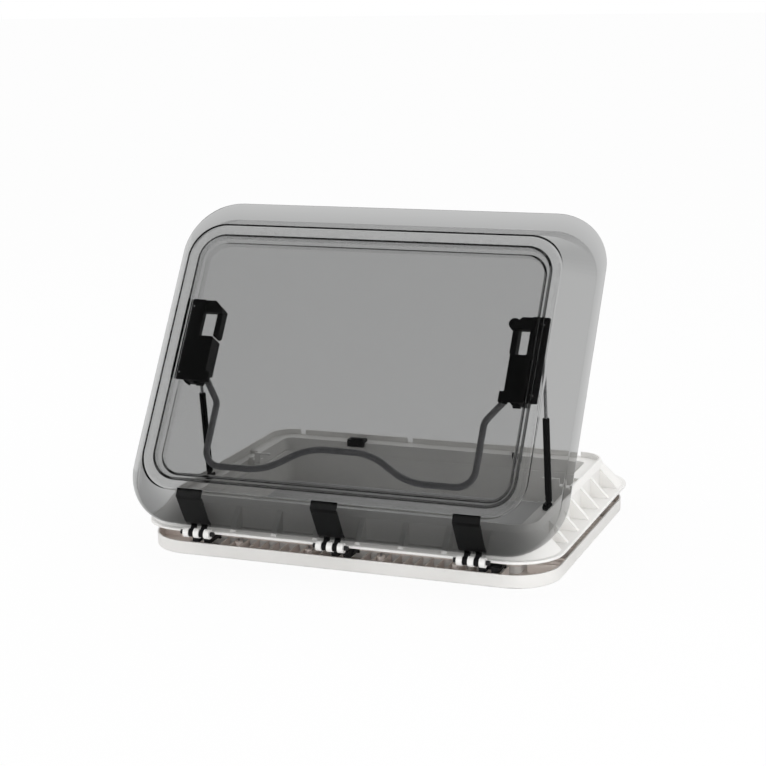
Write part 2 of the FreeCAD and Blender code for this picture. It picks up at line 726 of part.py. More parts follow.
def latch_hook():
    """The right hook: a flat shank, a cross bar with a rounded corner, a leg, and a rack inside the housing."""
    high_v = latch_high_v
    shank_low_w = latch_face_w - hook_thick
    shank = box(hook_shank_low_x, hook_shank_high_x, housing_high_v - 22.0, high_v, shank_low_w,
                latch_face_w - hook_play)
    bar = box(hook_leg_inner_x, hook_shank_high_x, hook_bar_v, high_v, shank_low_w, latch_face_w - hook_play)
    corner = prism_z([(hook_leg_inner_x - 1.0, high_v - 16.0), (hook_leg_inner_x + 17.0, high_v + 1.0),
                      (hook_leg_inner_x - 1.0, high_v + 1.0)], 0.0, 100.0)
    leg_high_w = latch_face_w - hook_thick + hook_bar_depth
    leg_low_w = leg_high_w - hook_leg_depth
    leg = box(hook_leg_inner_x, hook_leg_inner_x + hook_leg_width, hook_leg_tip_v + hook_leg_width / 2,
              high_v,
              leg_low_w, leg_high_w)
    tip = rod(hook_leg_width / 2, FreeCAD.Vector(hook_leg_inner_x + hook_leg_width / 2,
                                                 hook_leg_tip_v + hook_leg_width / 2, leg_low_w), Z_AXIS,
              leg_high_w - leg_low_w)
    outside = fused([shank, bar, leg, tip]).cut(corner)
    rack_top = bow_pivot_w - gear_pitch_radius - gear_dedendum + 0.2
    rack_low = housing_floor_w + housing_wall + 0.4
    rack_low_v = housing_low_v + 0.5
    rack_high_v = housing_high_v - housing_wall - hook_travel - 0.7
    rack = box(rack_low_x, rack_low_x + gear_width, rack_low_v, rack_high_v, rack_low, rack_top)
    rack = rack.cut(prism_x([(rack_low_v - 1.0, rack_low - 1.0), (rack_low_v + 7.0, rack_low - 1.0),
                             (rack_low_v - 1.0,
                              rack_low + 4.5)], rack_low_x - 1.0, rack_low_x + gear_width + 1.0))
    link = box(rack_low_x, hook_shank_high_x, housing_high_v - 22.0, rack_high_v, rack_low,
               latch_face_w - hook_play)
    pitch = 2 * math.pi * gear_pitch_radius / gear_teeth
    half = (pitch / 2 - gear_backlash) / 2
    teeth = []
    for index in range(-2, 3):
        middle = bow_pivot_v + index * pitch
        points = [(middle - half - 0.7, rack_top - 0.5), (middle + half + 0.7, rack_top - 0.5),
                  (middle + half - 0.4, bow_pivot_w - gear_pitch_radius + gear_addendum - 0.1),
                  (middle - half + 0.4, bow_pivot_w - gear_pitch_radius + gear_addendum - 0.1)]
        if middle - half - 0.7 > rack_low_v and middle + half + 0.7 < rack_high_v:
            teeth.append(prism_x(points, rack_low_x, rack_low_x + gear_width))
    return fused([outside, rack, link] + teeth)


def prism_z(points, low_z, high_z):
    """A solid of constant section along Z, from (x, y) points."""
    corners = [FreeCAD.Vector(x, y, low_z) for x, y in points]
    face = Part.Face(Part.makePolygon(corners + corners[:1]))
    return face.extrude(FreeCAD.Vector(0, 0, high_z - low_z))


def latch_button():
    """The round thumb knob on the right hook's free corner."""
    centre = FreeCAD.Vector(hook_leg_inner_x - 1.0, latch_high_v - knob_radius + 2.0, latch_face_w - 25.0)
    return rod(knob_radius, centre, Z_AXIS, knob_length)


def latch_base():
    """The right latch's plate against the inner pane."""
    low = latch_face_w
    high = inner_floor_w
    wide = box(latch_inner_x, latch_outer_x, latch_low_v, housing_high_v, low, high)
    narrow = box(hook_shank_low_x - 2.0, latch_outer_x, housing_high_v - 1.0, latch_high_v, low, high)
    body = fused([wide, narrow])
    upright = [edge for edge in body.Edges if abs(edge.BoundBox.ZLength - latch_plate) < 0.01]
    body = body.makeFillet(3.0, upright)
    ear = box(latch_inner_x - latch_ear, latch_inner_x - 0.3, latch_low_v, bow_pivot_v + latch_ear,
              low - 5.0, high)
    bridge = box(latch_inner_x - latch_ear, latch_inner_x + 4.0, latch_low_v + 3.0, bow_pivot_v + latch_ear,
                 low, high)
    body = fused([body, ear, bridge])
    holes = [rod(screw_radius + screw_hole_play, FreeCAD.Vector(x, v, low - 1.0), Z_AXIS, latch_plate + 2.0)
             for x, v in latch_screw_places()]
    return body.cut(holes)


def latch_screw_places():
    return [(housing_outer_x + 10.0, latch_low_v + 14.0), (housing_outer_x + 10.0, latch_high_v - 14.0)]


def latch_screws():
    """Short screws through the right plate into the pane's bosses."""
    screws = []
    for x, v in latch_screw_places():
        shank = rod(screw_radius, FreeCAD.Vector(x, v, latch_face_w - 0.05), Z_AXIS, latch_plate)
        head = rod(3.4, FreeCAD.Vector(x, v, latch_face_w - 1.7), Z_AXIS, 1.65)
        screws.append(fused([shank, head]))
    return screws


def latch_housing():
    """The right gear case: walls round the rack and pinion, open to the plate and at both ends."""
    low = housing_floor_w
    high = latch_face_w
    outside = box(latch_inner_x, housing_outer_x, housing_low_v, housing_high_v, low, high)
    rounded = [edge for edge in outside.Edges
               if edge.BoundBox.ZMax < low + 0.01 or (edge.BoundBox.ZLength > 1
                                                      and edge.BoundBox.YMin > housing_high_v - 1)]
    outside = outside.makeFillet(housing_round, rounded)
    heel = prism_x([(housing_low_v - 1.0, low - 1.0), (housing_low_v + housing_heel, low - 1.0),
                    (housing_low_v - 1.0, low + 0.75 * housing_heel)], latch_inner_x - 1.0, housing_outer_x + 1.0)
    inside = box(rack_low_x - 4.0, housing_outer_x - housing_wall, housing_low_v - 1.0,
                 housing_high_v - housing_wall,
                 low + housing_wall, high + 1.0)
    shank_slot = box(hook_shank_low_x - 0.5, hook_shank_high_x + 0.5, housing_high_v - 5.0,
                     housing_high_v + 1.0,
                     high - 13.0, high + 1.0)
    tube_slot = box(latch_inner_x - 1.0, rack_low_x, housing_low_v - 1.0, bow_pivot_v, low - 1.0,
                    bow_pivot_w + bow_radius + 1.5)
    swing_slot = box(latch_inner_x - 1.0, rack_low_x, bow_pivot_v - 1.0, bow_pivot_v + bow_radius + 1.5,
                     low - 1.0, bow_pivot_w)
    tube_seat = rod(bow_radius + 1.5, FreeCAD.Vector(latch_inner_x - 1.0, bow_pivot_v, bow_pivot_w), X_AXIS,
                    16.0)
    body = outside.cut([inside, shank_slot, tube_slot, swing_slot, tube_seat, heel])
    bearing = box(rack_low_x + gear_width + 3.3, housing_outer_x - 0.5, bow_pivot_v - 10.0,
                  bow_pivot_v + 10.0,
                  low + 1.0, high)
    body = fused([body, bearing.cut(heel)])
    return body.cut(rod(bow_radius + 0.08, FreeCAD.Vector(rack_low_x + 8.0, bow_pivot_v, bow_pivot_w),
                        X_AXIS, 18.0))


def bow_path():
    """The bow's corners and bend radii from the right pivot to the left one, in its own plane."""
    start_x = rack_low_x + gear_width + 3 * gear_hub_side
    bend_x = latch_inner_x + 3.5
    side_x = bend_x - bow_shoulder
    half = [((start_x, 0.0), 0.0), ((bend_x, 0.0), bow_bend_radius),
            ((side_x, -0.276 * bow_depth), bow_shoulder_radius),
            ((side_x, -bow_depth), bow_corner_radius), ((0.475 * bend_x, -bow_depth), bow_rise_radius),
            ((0.203 * bend_x, -0.718 * bow_depth), bow_rise_radius)]
    other = [((-point[0], point[1]), radius) for point, radius in reversed(half)]
    return half + other


def bow_tube():
    """The bent tube that both hands reach, with its ends as the pivots of the two pinions."""
    corners = bow_path()
    edges = []
    start = FreeCAD.Vector(corners[0][0][0], corners[0][0][1], 0)
    for index in range(1, len(corners) - 1):
        before = FreeCAD.Vector(*corners[index - 1][0], 0)
        here = FreeCAD.Vector(*corners[index][0], 0)
        after = FreeCAD.Vector(*corners[index + 1][0], 0)
        incoming = (before - here).normalize()
        outgoing = (after - here).normalize()
        turn = math.pi - incoming.getAngle(outgoing)
        radius = corners[index][1]
        setback = radius * math.tan(turn / 2)
        enter = here + incoming * setback
        leave = here + outgoing * setback
        inward = (incoming + outgoing).normalize()
        centre = here + inward * (radius / math.cos(turn / 2))
        edges.append(Part.LineSegment(start, enter).toShape())
        edges.append(Part.Arc(enter, centre - inward * radius, leave).toShape())
        start = leave
    end = FreeCAD.Vector(*corners[-1][0], 0)
    edges.append(Part.LineSegment(start, end).toShape())
    path = Part.Wire(edges)
    profile = Part.Wire([Part.makeCircle(bow_radius, FreeCAD.Vector(corners[0][0][0], corners[0][0][1], 0),
                                         X_AXIS)])
    tube = path.makePipeShell([profile], True, True)
    return tube


def bow_place(shape):
    """Put a shape drawn about the bow's axis on the open lid."""
    placed = shape.copy()
    placed.translate(FreeCAD.Vector(0, bow_pivot_v, bow_pivot_w))
    return to_lid(placed)


def strut_direction():
    """The strut's foot, its axis at rest and its length at rest."""
    foot = FreeCAD.Vector(0, strut_foot_y, strut_foot_z)
    turn = math.radians(open_angle)
    top_y = hinge_y + strut_top_v * math.cos(turn) - strut_top_w * math.sin(turn)
    top_z = hinge_z + strut_top_v * math.sin(turn) + strut_top_w * math.cos(turn)
    axis = FreeCAD.Vector(0, top_y, top_z) - foot
    return foot, axis, axis.Length


def folded_length():
    """The strut's length between its pivots with the lid shut."""
    return math.hypot(hinge_y + strut_top_v - strut_foot_y, hinge_z + strut_top_w - strut_foot_z)


def strut_place(shape, sign):
    """Stand a strut part, drawn up +Z from the foot's pivot, at its place on the given side."""
    foot, axis, length = strut_direction()
    lean = math.degrees(math.atan2(-axis.y, axis.z))
    placed = shape.copy()
    placed.rotate(ORIGIN, X_AXIS, lean)
    placed.translate(FreeCAD.Vector(sign * strut_x, foot.y, foot.z))
    return placed


def strut_eye(height):
    """An end eye with its hole along X, at a height up the strut."""
    start = FreeCAD.Vector(-eye_width / 2, 0, height)
    return rod(eye_radius, start, X_AXIS, eye_width)


def strut_cylinder():
    """Hollow gas cylinder with a rolled neck and its lower eye."""
    strut_length = folded_length() - strut_rod_out
    tube = rod(strut_radius, FreeCAD.Vector(0, 0, 9.0), Z_AXIS, strut_length - 9.0)
    round_edges = [edge for edge in tube.Edges if edge.BoundBox.ZLength < 0.01]
    tube = tube.makeFillet(1.6, round_edges)
    bore = rod(strut_bore, FreeCAD.Vector(0, 0, 14.0), Z_AXIS, strut_length - 22.0)
    guide = rod(rod_radius + 0.06, FreeCAD.Vector(0, 0, strut_length - 12.0), Z_AXIS, 20.0)
    neck = rod(3.6, FreeCAD.Vector(0, 0, 2.0), Z_AXIS, 9.0)
    body = fused([tube, neck, strut_eye(0.0)])
    hole = rod(stud_radius + 0.06, FreeCAD.Vector(-eye_width, 0, 0), X_AXIS, 2 * eye_width)
    return body.cut([bore, guide, hole])


def strut_rod():
    """Piston, rod and upper eye of the strut."""
    foot, axis, length = strut_direction()
    piston_low = folded_length() - strut_rod_out - 22.0
    piston = rod(strut_bore - 0.08, FreeCAD.Vector(0, 0, piston_low), Z_AXIS, 8.0)
    shaft = rod(rod_radius, FreeCAD.Vector(0, 0, piston_low), Z_AXIS, length - piston_low)
    collar = rod(4.4, FreeCAD.Vector(0, 0, length - 12.0), Z_AXIS, 8.0)
    return fused([piston, shaft, collar, strut_eye(length)])


def strut_foot(sign):
    """Bracket on the side ledge with the stud for the strut's lower eye."""
    inner_x = strut_bracket_x
    base_low = ledge_z - strut_recess_depth
    plate = box(inner_x, strut_x + eye_width / 2 + side_clearance, strut_foot_y - 12.0, strut_foot_y - 7.0,
                base_low, base_low + 8.0)
    ear = box(inner_x, inner_x + 3.0, strut_foot_y - 12.0, strut_foot_y + 7.0, base_low, strut_foot_z + 6.0)
    stud = rod(stud_radius, FreeCAD.Vector(inner_x + 1.0, strut_foot_y, strut_foot_z), X_AXIS,
               strut_x + eye_width / 2 - inner_x - 1.0)
    body = fused([plate, ear, stud])
    return body if sign > 0 else mirrored(body)


def strut_lug(sign):
    """Bracket under the latch plate; its stud stops beside the rod's eye."""
    outer_x = strut_x - eye_width / 2 - side_clearance
    ear = box(outer_x - 6.5, outer_x, strut_top_v - 8.0, strut_top_v + 8.0, strut_top_w - 5.5, latch_face_w)
    corners = [edge for edge in ear.Edges if edge.BoundBox.XLength > 1 and edge.BoundBox.ZMax < strut_top_w]
    ear = to_lid(ear.makeFillet(4.0, corners))
    return ear if sign > 0 else mirrored(ear)


def keeper(sign):
    """Keeper on the opening's side wall: an arm under the hook, a post in its mouth and a lip over its leg."""
    low_x = hook_leg_inner_x - 2.0
    post_low_x = hook_leg_inner_x + hook_leg_width + 9.0
    post_high_x = hook_shank_low_x - keeper_depth
    high_y = keeper_low_y + keeper_depth
    wall_y = latch_recess_high_y + 1.0
    arm = box(post_low_x, light_half_x, keeper_low_y, wall_y + 12.0, keeper_arm_z - 7.0, keeper_arm_z)
    pad = box(light_half_x - 3.0, light_half_x, wall_y, wall_y + 28.0, collar_top_z + 0.5, keeper_arm_z)
    post = box(post_low_x, post_high_x, keeper_low_y, high_y, keeper_arm_z - 7.0, keeper_lip_z + 3.0)
    lip = box(low_x, post_high_x, keeper_low_y, high_y, keeper_lip_z, keeper_lip_z + 3.0)
    upright = [edge for edge in pad.Edges if edge.BoundBox.XLength > 2 and edge.BoundBox.YMin > wall_y + 20.0]
    body = fused([arm, pad.makeFillet(5.0, upright), post, lip])
    return body if sign > 0 else mirrored(body)


def rear_catch():
    """Black stop clipped over the edge of the rear ledge."""
    low_x = -182.0
    high_x = -146.0
    front = box(low_x, high_x, light_half_y - 6.0, light_half_y, ledge_z - 8.0, ledge_z + 11.0)
    top = box(low_x, high_x, light_half_y - 6.0, light_half_y + 16.0, ledge_z, ledge_z + 7.0)
    step = box(low_x - 1.0, low_x + 9.0, light_half_y - 7.0, light_half_y + 17.0, ledge_z + 7.0,
               ledge_z + 12.0)
    return fused([front, top]).cut(step)


def rear_guides():
    """Two small black pegs on the rear wall."""
    pegs = []
    for x in (172.0, 181.0):
        pegs.append(box(x - 1.8, x + 1.8, light_half_y - 4.0, light_half_y, ledge_z - 6.0, ledge_z + 6.0))
    return pegs


os.makedirs("parts", exist_ok=True)

save("outer_frame", [outer_frame()])
save("outer_neck", roof_neck())
save("ceiling_frame", [ceiling_frame()])
save("ceiling_collar", ceiling_collar())
save("roof_clamps", around(clamp()))
save("clamp_screws", around(clamp_screw()))
save("frame_screws", frame_screws())
save("hinge_pins", hinge_pins())
for arm_name, arm_centre in zip(("left", "middle", "right"), hinge_centres()):
    save("hinge_arm_" + arm_name, [hinge_arm(arm_centre)])
save("lid_outer_pane", [to_lid(lid_outer_pane())])
save("lid_inner_pane", [to_lid(lid_inner_pane())])
save("lid_seal", [to_lid(lid_seal())])
save("rear_catch", [rear_catch()])
save("rear_guides", rear_guides())
save("bow_handle", [bow_place(bow_tube())])

side_pieces = {
    "latch_base": to_lid(latch_base()),
    "latch_housing": to_lid(latch_housing()),
    "latch_hook": to_lid(latch_hook()),
    "bow_pinion": bow_place(bow_drum()),
}
for side, sign in SIDES:
    for name, piece in side_pieces.items():
        save(name + "_" + side, [piece if sign > 0 else mirrored(piece)])
    save("latch_screws_" + side, [to_lid(s) if sign > 0 else mirrored(to_lid(s)) for s in latch_screws()])
    save("strut_cylinder_" + side, [strut_place(strut_cylinder(), sign)])
    save("strut_rod_" + side, [strut_place(strut_rod(), sign)])
    save("strut_foot_" + side, [strut_foot(sign)])
    save("strut_lug_" + side, [strut_lug(sign)])
    save("latch_keeper_" + side, [keeper(sign)])
save("latch_button", [to_lid(latch_button().cut(latch_hook()))])
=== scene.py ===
import json
import math

import bmesh
import bpy
from mathutils import Matrix, Vector


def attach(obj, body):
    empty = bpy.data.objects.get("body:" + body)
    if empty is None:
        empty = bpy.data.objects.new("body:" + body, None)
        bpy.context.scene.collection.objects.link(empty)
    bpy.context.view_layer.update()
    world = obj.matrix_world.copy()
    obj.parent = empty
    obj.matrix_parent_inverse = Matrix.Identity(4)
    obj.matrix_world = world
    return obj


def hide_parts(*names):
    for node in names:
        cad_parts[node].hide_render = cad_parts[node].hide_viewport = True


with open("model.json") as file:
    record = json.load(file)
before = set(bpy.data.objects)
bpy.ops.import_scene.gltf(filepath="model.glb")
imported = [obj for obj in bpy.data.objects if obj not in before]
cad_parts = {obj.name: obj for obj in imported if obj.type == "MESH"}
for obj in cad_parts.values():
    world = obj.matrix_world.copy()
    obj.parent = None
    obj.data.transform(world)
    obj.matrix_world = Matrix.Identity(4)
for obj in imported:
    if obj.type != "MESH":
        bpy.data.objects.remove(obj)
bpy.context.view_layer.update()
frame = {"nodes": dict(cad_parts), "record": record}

# Camera, fitted to the photo; places in metres, lens and sensor in millimetres
CAMERA_PLACE = Vector((1.2117, -3.1316, 1.0569))
CAMERA_YAW = math.radians(-21.431)
CAMERA_PITCH = math.radians(13.058)
CAMERA_ROLL = math.radians(1.167)
CAMERA_LENS = 85.94
CAMERA_SENSOR = 36.0
CAMERA_REACH = 100.0

# Open lid in millimetres: hinge line, middle along the lid, and the line where the panes meet
HINGE_PLACE = (-313.0, 52.0)
LID_ANGLE = math.radians(57.0)
LID_MIDDLE = 315.0
WELD_HALF_X = 359.0
WELD_HALF_V = 257.0
WELD_RADIUS = 66.0

# Outer pane: runs outward from the weld line and heights off the hinge line
PANE_START = -12.0
KNEE = 3.0
WALL_FOOT = 45.5
LIP_SIDE = 58.0
LIP_NEAR = 46.0
LIP_FAR = 82.0
LIP_ROUNDING = 39.0
PANE_TOP = 84.0
BEND_HEIGHT = 10.0
LIP_HIGH = 5.1
LIP_LOW = 2.5

# How far the outer pane's inner face lies inside the outer one, at each bend
PANE_THICK = 3.5
KNEE_INSET = 1.9
WALL_INSET = 2.0
# The near wall is thickened towards its foot, so that its tint darkens it as painted shade
NEAR_WALL_SHADE_INSET = 4.8
BEND_DROP = 3.2
LIP_INSET = 0.2

# Inner pane: heights of its floor and ledge, and the runs where each face steps up
TRAY_FLOOR = 61.0
TRAY_LEDGE = 70.0
TRAY_THICK = 3.0
TRAY_START = -45.0
UPPER_STEPS = (-33.4, -31.9, -21.9, -20.4)
LOWER_STEPS = (-30.3, -28.8, -18.5, -17.0)
RIM_RUN = -1.6
RIM_GAP = 0.1
RIM_THICK = 1.1

# Fineness of the panes and how far a bend reaches along the flats beside it
CORNER_STEPS = 16
BEND_STEPS = 5
BEND_LIMIT = 0.45
OUTER_REACH = 2.4
INNER_REACH = 1.2
TRAY_REACH = 2.2
SUPPORT_REACH = 0.3
SHORTEST_FLAT = 0.01
PANE_WIDEN = 0.6
TRAY_WIDEN = 0.92

# Blocks about the origin, in metres: half width, half depth, corner radius, low and high
LIGHT_OPENING = (0.3145, 0.2145, 0.0115, -1.0, 1.0)
# The channel block is where the ceiling frame gets a painted warm shade
SHADED_CHANNEL = (0.3872, 0.2842, 0.079, 0.0025, 0.0238)

# Values between which a ramp runs
NOISE_BAND = (0.3, 0.7)
CLOUD_BAND = (0.35, 0.65)
MIRROR_BAND = (0.25, 0.6)

# Colours and strengths
WHITE = (1.0, 1.0, 1.0, 1.0)
# Painted shade: warm tones that the neck and the ceiling frame's channel get in place of the warm shade
# between the parts
WARM_SHADE_DARK = (0.86, 0.77, 0.72)
WARM_SHADE_LIGHT = (0.90, 0.83, 0.78)
SMOKE = (0.06, 0.066, 0.064)
PANE_SHINE = 0.15
DIM_REFLECTION = 0.3
# Grey of the floor inside the light opening: painted shade under the lid and frame
OPENING_PAINTED_SHADE = 0.5
ACRYLIC_INDEX = 1.49
SEAL_CLEARNESS = 0.99
FLOOR_GLOW = 0.94
SKY_STRENGTH = 0.9
BACKDROP_SIDE = (-0.356, 0.907, -0.226)

# Plastic: roughness from and to, grain size and strength, width of the softened edges
WHITE_MOULDING = (0.42, 0.5, 900.0, 0.25, 0.0012)
BLACK_MOULDING = (0.36, 0.5, 1400.0, 0.4, 0.0006)

# Lamps: name, place, target, size and power
LAMPS = (
    ("left", (-3.0, -0.4, 1.8), (0.0, 0.0, 0.1), 1.6, 20.0),
    ("right", (2.6, -1.0, 1.5), (0.0, 0.0, 0.1), 1.5, 19.0),
    ("top", (0.2, 1.0, 3.2), (0.0, 0.0, 0.1), 2.0, 12.0),
    ("front", (0.9, -3.4, 0.5), (0.0, -0.3, 0.05), 1.8, 32.0),
)


def add_camera():
    """The photo's camera, from its yaw, pitch and roll."""
    forward = Vector((math.sin(CAMERA_YAW) * math.cos(CAMERA_PITCH),
                      math.cos(CAMERA_YAW) * math.cos(CAMERA_PITCH), -math.sin(CAMERA_PITCH)))
    right = Vector((math.cos(CAMERA_YAW), -math.sin(CAMERA_YAW), 0.0))
    down = forward.cross(right)
    turned_right = right * math.cos(CAMERA_ROLL) + down * math.sin(CAMERA_ROLL)
    turned_down = down * math.cos(CAMERA_ROLL) - right * math.sin(CAMERA_ROLL)
    data = bpy.data.cameras.new("camera")
    data.lens = CAMERA_LENS
    data.sensor_width = CAMERA_SENSOR
    data.clip_end = CAMERA_REACH
    camera = bpy.data.objects.new("camera", data)
    rows = Matrix((turned_right, -turned_down, -forward)).transposed()
    camera.matrix_world = Matrix.Translation(CAMERA_PLACE) @ rows.to_4x4()
    bpy.context.collection.objects.link(camera)
    bpy.context.scene.camera = camera


def new_material(name):
    """A material with its node tree and its Principled shader."""
    material = bpy.data.materials.new(name)
    material.use_nodes = True
    tree = material.node_tree
    return material, tree, tree.nodes["Principled BSDF"]


def add_noise(tree, scale, detail=3.0, stretch=(1.0, 1.0, 1.0)):
    """Noise in the object's own coordinates."""
    coordinates = tree.nodes.new("ShaderNodeTexCoord")
    mapping = tree.nodes.new("ShaderNodeMapping")
    mapping.inputs["Scale"].default_value = stretch
    noise = tree.nodes.new("ShaderNodeTexNoise")
    noise.inputs["Scale"].default_value = scale
    noise.inputs["Detail"].default_value = detail
    tree.links.new(coordinates.outputs["Object"], mapping.inputs["Vector"])
    tree.links.new(mapping.outputs["Vector"], noise.inputs["Vector"])
    return noise.outputs["Fac"]


def add_ramp(tree, source, band, low_color, high_color):
    """Colour between two values of a source."""
    ramp = tree.nodes.new("ShaderNodeValToRGB")
    for element, position, color in zip(ramp.color_ramp.elements, band, (low_color, high_color)):
        element.position = position
        element.color = color
    tree.links.new(source, ramp.inputs["Fac"])
    return ramp.outputs["Color"]


def feed(tree, value, socket):
    """Sets a socket to a plain number or colour, or links another socket to it."""
    if isinstance(value, (float, tuple)):
        socket.default_value = value
    else:
        tree.links.new(value, socket)


def add_math(tree, operation, first, second):
    """A math node; each input is a socket or a plain number."""
    node = tree.nodes.new("ShaderNodeMath")
    node.operation = operation
    feed(tree, first, node.inputs[0])
    feed(tree, second, node.inputs[1])
    return node.outputs[0]


def mix_colors(tree, share, first, second):
    """Two colours mixed; each input is a socket or a plain value."""
    mix = tree.nodes.new("ShaderNodeMix")
    mix.data_type = "RGBA"
    for value, socket in ((share, "Factor"), (first, "A"), (second, "B")):
        feed(tree, value, mix.inputs[socket])
    return mix.outputs["Result"]


def mix_shaders(tree, share, first, second):
    """Two shaders mixed; the share is a socket or a plain number."""
    mix = tree.nodes.new("ShaderNodeMixShader")
    for value, socket in zip((share, first, second), mix.inputs):
        feed(tree, value, socket)
    return mix.outputs[0]


def seen_directly(tree):
    """1 for rays from the camera and for those that come through glass, and 0 for others."""
    path = tree.nodes.new("ShaderNodeLightPath")
    return add_math(tree, "MAXIMUM", path.outputs["Is Camera Ray"], path.outputs["Is Transmission Ray"])


def add_bump(tree, shader, height, strength, distance):
    """Fine relief on a shader; gives the socket for the normal that it starts from."""
    bump = tree.nodes.new("ShaderNodeBump")
    bump.inputs["Strength"].default_value = strength
    bump.inputs["Distance"].default_value = distance
    tree.links.new(height, bump.inputs["Height"])
    tree.links.new(bump.outputs["Normal"], shader.inputs["Normal"])
    return bump.inputs["Normal"]


def inside_mask(tree, half_x, half_y, corner, low_z, high_z):
    """1 inside an upright block about the origin with rounded corners, and 0 outside it."""
    coordinates = tree.nodes.new("ShaderNodeTexCoord")
    source = coordinates.outputs["Object"]
    for operation, value in (
            ("ABSOLUTE", None), ("SUBTRACT", (half_x - corner, half_y - corner, 0.0)),
            ("MAXIMUM", (0.0, 0.0, 0.0)), ("MULTIPLY", (1.0, 1.0, 0.0)), ("LENGTH", None)):
        step = tree.nodes.new("ShaderNodeVectorMath")
        step.operation = operation
        tree.links.new(source, step.inputs[0])
        if value:
            step.inputs[1].default_value = value
        source = step.outputs["Value" if operation == "LENGTH" else "Vector"]
    within = add_math(tree, "LESS_THAN", source, corner)
    split = tree.nodes.new("ShaderNodeSeparateXYZ")
    tree.links.new(coordinates.outputs["Object"], split.inputs[0])
    above = add_math(tree, "GREATER_THAN", split.outputs[2], low_z)
    below = add_math(tree, "LESS_THAN", split.outputs[2], high_z)
    return add_math(tree, "MULTIPLY", within, add_math(tree, "MULTIPLY", above, below))


def grey(value):
    """An even grey with its alpha."""
    return (value, value, value, 1.0)


def plastic(name, dark, light, rough_low, rough_high, grain_scale, grain, edge,
            specular=0.5, painted_shade_block=None):
    """Moulded plastic: slight unevenness of colour and gloss, fine grain and soft edges; inside a given
    block, a painted warm shade.
    """
    material, tree, shader = new_material(name)
    shader.inputs["Specular IOR Level"].default_value = specular
    cloud = add_noise(tree, scale=9.0, detail=4.0)
    color = add_ramp(tree, cloud, CLOUD_BAND, (*dark, 1.0), (*light, 1.0))
    # Painted shade: inside the block the colour turns to the warm tones that stand in for the shaded
    # channel
    if painted_shade_block:
        painted_shade_color = add_ramp(tree, cloud, CLOUD_BAND, (*WARM_SHADE_DARK, 1.0), (*WARM_SHADE_LIGHT, 1.0))
        color = mix_colors(tree, inside_mask(tree, *painted_shade_block), color, painted_shade_color)
    tree.links.new(color, shader.inputs["Base Color"])
    uneven = add_noise(tree, scale=40.0)
    tree.links.new(add_ramp(tree, uneven, NOISE_BAND, grey(rough_low), grey(rough_high)),
                   shader.inputs["Roughness"])
    bevel = tree.nodes.new("ShaderNodeBevel")
    bevel.inputs["Radius"].default_value = edge
    grains = add_noise(tree, scale=grain_scale, detail=2.0)
    base = add_bump(tree, shader, grains, strength=grain, distance=0.0002)
    tree.links.new(bevel.outputs["Normal"], base)
    return material


def metal(name, dark, light, rough_low, rough_high, stretch):
    """Ground or drawn metal with fine lines along one direction."""
    material, tree, shader = new_material(name)
    shader.inputs["Metallic"].default_value = 1.0
    lines = add_noise(tree, scale=400.0, detail=2.0, stretch=stretch)
    tree.links.new(add_ramp(tree, lines, NOISE_BAND, (*dark, 1.0), (*light, 1.0)),
                   shader.inputs["Base Color"])
    tree.links.new(add_ramp(tree, lines, NOISE_BAND, grey(rough_low), grey(rough_high)),
                   shader.inputs["Roughness"])
    return material


def see_through(name):
    """Clear soft rubber that barely shows: a faint grey skin over a clear body."""
    material, tree, shader = new_material(name)
    tree.links.new(add_ramp(tree, add_noise(tree, scale=60.0), NOISE_BAND, grey(0.16), grey(0.2)),
                   shader.inputs["Base Color"])
    shader.inputs["Roughness"].default_value = 0.4
    clear = tree.nodes.new("ShaderNodeBsdfTransparent")
    tree.links.new(mix_shaders(tree, SEAL_CLEARNESS, shader.outputs[0], clear.outputs[0]),
                   tree.nodes["Material Output"].inputs["Surface"])
    return material


def acrylic(name, absorb, density):
    """Tinted acrylic: the tint lies in the thickness, so slanting walls show darker."""
    material, tree, shader = new_material(name)
    shader.inputs["Base Color"].default_value = WHITE
    shader.inputs["Transmission Weight"].default_value = 1.0
    shader.inputs["IOR"].default_value = ACRYLIC_INDEX
    shader.inputs["Specular Tint"].default_value = grey(PANE_SHINE)
    tree.links.new(add_ramp(tree, add_noise(tree, scale=12.0), NOISE_BAND, grey(0.005), grey(0.02)),
                   shader.inputs["Roughness"])
    waves = add_noise(tree, scale=14.0, detail=1.0)
    add_bump(tree, shader, waves, strength=0.02, distance=0.0005)
    clear = tree.nodes.new("ShaderNodeBsdfTransparent")
    path = tree.nodes.new("ShaderNodeLightPath")
    output = tree.nodes["Material Output"]
    tree.links.new(mix_shaders(tree, path.outputs["Is Shadow Ray"], shader.outputs[0],
                               clear.outputs[0]), output.inputs["Surface"])
    volume = tree.nodes.new("ShaderNodeVolumeAbsorption")
    volume.inputs["Color"].default_value = (*absorb, 1.0)
    volume.inputs["Density"].default_value = density
    tree.links.new(volume.outputs[0], output.inputs["Volume"])
    return material


def lid_loop(run_x, run_near, run_far, radius, height):
    """Points of a rounded rectangle round the open lid, at set runs outside its weld line."""
    half_x = WELD_HALF_X + run_x
    low = LID_MIDDLE - WELD_HALF_V - run_near
    high = LID_MIDDLE + WELD_HALF_V + run_far
    points = []
    for quarter, (side_x, side_v) in enumerate(((1, 1), (-1, 1), (-1, -1), (1, -1))):
        centre_x = side_x * (half_x - radius)
        centre_v = high - radius if side_v > 0 else low + radius
        for step in range(CORNER_STEPS + 1):
            turn = math.radians(90.0) * (quarter + step / CORNER_STEPS)
            x = centre_x + radius * math.cos(turn)
            v = centre_v + radius * math.sin(turn)
            y = HINGE_PLACE[0] + v * math.cos(LID_ANGLE) - height * math.sin(LID_ANGLE)
            z = HINGE_PLACE[1] + v * math.sin(LID_ANGLE) + height * math.cos(LID_ANGLE)
            points.append(Vector((x, y, z)) / 1000.0)
    return points


